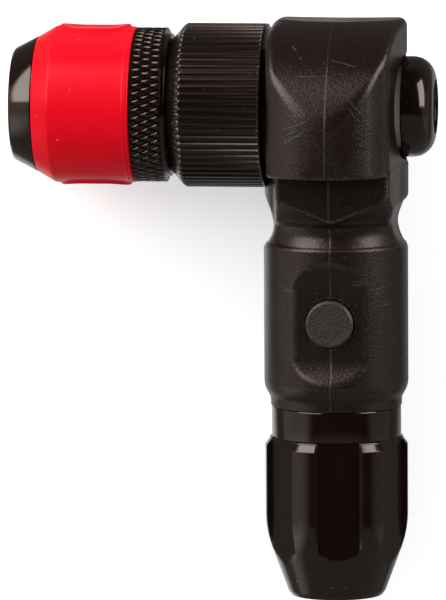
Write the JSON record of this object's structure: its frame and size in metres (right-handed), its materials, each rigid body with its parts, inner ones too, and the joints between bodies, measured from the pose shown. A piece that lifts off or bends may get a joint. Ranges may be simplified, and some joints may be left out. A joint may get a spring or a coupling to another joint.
{
  "type": "tyre inflator head",
  "caption": "Right-angle inflator head: a spring-locked valve chuck swivels on a moulded handle with a bleed button and a fluted nut that clamps the air hose.",
  "frame": {"origin": "Centre of the hose mouth: on the handle's axis, in the plane of the hose nut's free end.", "axes": "+Y runs up the handle to the head, and the hose leaves along -Y. -X runs along the chuck to the valve. +Z points out of the bleed button, so the part lies on its back."},
  "size_m": [0.0715, 0.0982, 0.0398],
  "materials": {
    "moulded_nylon": "satin glass-filled nylon moulding",
    "button_plastic": "finely grained",
    "gloss_black_anodised": "polished, black anodised",
    "satin_black_anodised": "satin, black anodised",
    "bare_aluminium": "turned",
    "nickel_plate": "polished nickel plate",
    "bright_steel": "ground",
    "spring_steel": "drawn wire",
    "hardened_steel": "blackened",
    "brass": "turned",
    "red_elastomer": "satin thermoplastic elastomer",
    "seal_rubber": "matt",
    "black_acetal": "turned",
    "ivory_acetal": "moulded",
    "red_fibre": "pressed fibre"
  },
  "bodies": {
    "handle": {"handle_body": "moulded_nylon", "hose_adapter": "gloss_black_anodised", "adapter_o_ring": "seal_rubber", "bleed_seat": "brass", "bleed_seat_o_ring": "seal_rubber", "bleed_spring": "spring_steel"},
    "chuck": {"spindle": "nickel_plate", "spindle_o_rings": "seal_rubber", "thrust_washer": "black_acetal", "cap_spacer": "nickel_plate", "rear_cap": "gloss_black_anodised", "ribbed_collar": "satin_black_anodised", "barrel_gasket": "red_fibre", "chuck_barrel": "bare_aluminium", "valve_seal": "seal_rubber", "seal_retainer": "brass", "core_pin_spring": "spring_steel", "sleeve_spring": "spring_steel"},
    "sleeve": {"lock_sleeve": "gloss_black_anodised", "sleeve_grip": "red_elastomer", "sleeve_bush": "black_acetal"},
    "jaw_top": {"jaw_1": "hardened_steel"},
    "jaw_lower": {"jaw_2": "hardened_steel"},
    "jaw_upper": {"jaw_3": "hardened_steel"},
    "pin": {"core_pin": "bright_steel"},
    "button": {"bleed_button": "button_plastic", "bleed_stem": "bright_steel", "bleed_seal": "seal_rubber"},
    "clamp": {"clamp_ferrule": "ivory_acetal"},
    "nut": {"hose_nut": "gloss_black_anodised"}
  },
  "joints": [
    {"name": "chuck_swivel", "type": "hinge", "parent": "handle", "child": "chuck", "pos_m": [0, 0.0833, 0], "axis": [1, 0, 0], "continuous": true},
    {"name": "sleeve_slide", "type": "slide", "parent": "chuck", "child": "sleeve", "axis": [-1, 0, 0], "range_m": [0, 0.0026], "stiffness_N_per_m": 500, "springref_m": -0.004, "deforming": ["sleeve_spring"]},
    {"name": "jaw_1_slide", "type": "slide", "parent": "chuck", "child": "jaw_top", "axis": [0, 0, 1], "range_m": [0, 0.0011]},
    {"name": "jaw_2_slide", "type": "slide", "parent": "chuck", "child": "jaw_lower", "axis": [0, -0.866, -0.5], "range_m": [0, 0.0011]},
    {"name": "jaw_3_slide", "type": "slide", "parent": "chuck", "child": "jaw_upper", "axis": [0, 0.866, -0.5], "range_m": [0, 0.0011]},
    {"name": "core_pin_slide", "type": "slide", "parent": "chuck", "child": "pin", "axis": [1, 0, 0], "range_m": [0, 0.0025], "stiffness_N_per_m": 300, "springref_m": -0.004, "deforming": ["core_pin_spring"]},
    {"name": "bleed_press", "type": "slide", "parent": "handle", "child": "button", "axis": [0, 0, -1], "range_m": [0, 0.0014], "stiffness_N_per_m": 500, "springref_m": -0.002, "deforming": ["bleed_spring"]},
    {"name": "clamp_slide", "type": "slide", "parent": "handle", "child": "clamp", "axis": [0, -1, 0], "range_m": [0, 0.0026]},
    {"name": "nut_turn", "type": "hinge", "parent": "clamp", "child": "nut", "pos_m": [0, 0, 0], "axis": [0, -1, 0], "range_deg": [0, 720]}
  ],
  "couplings": [
    {"joint": "jaw_1_slide", "follows": "sleeve_slide", "ratio": 0.42},
    {"joint": "jaw_2_slide", "follows": "sleeve_slide", "ratio": 0.42},
    {"joint": "jaw_3_slide", "follows": "sleeve_slide", "ratio": 0.42},
    {"joint": "clamp_slide", "follows": "nut_turn", "m_per_rad": 0.00019894}
  ]
}
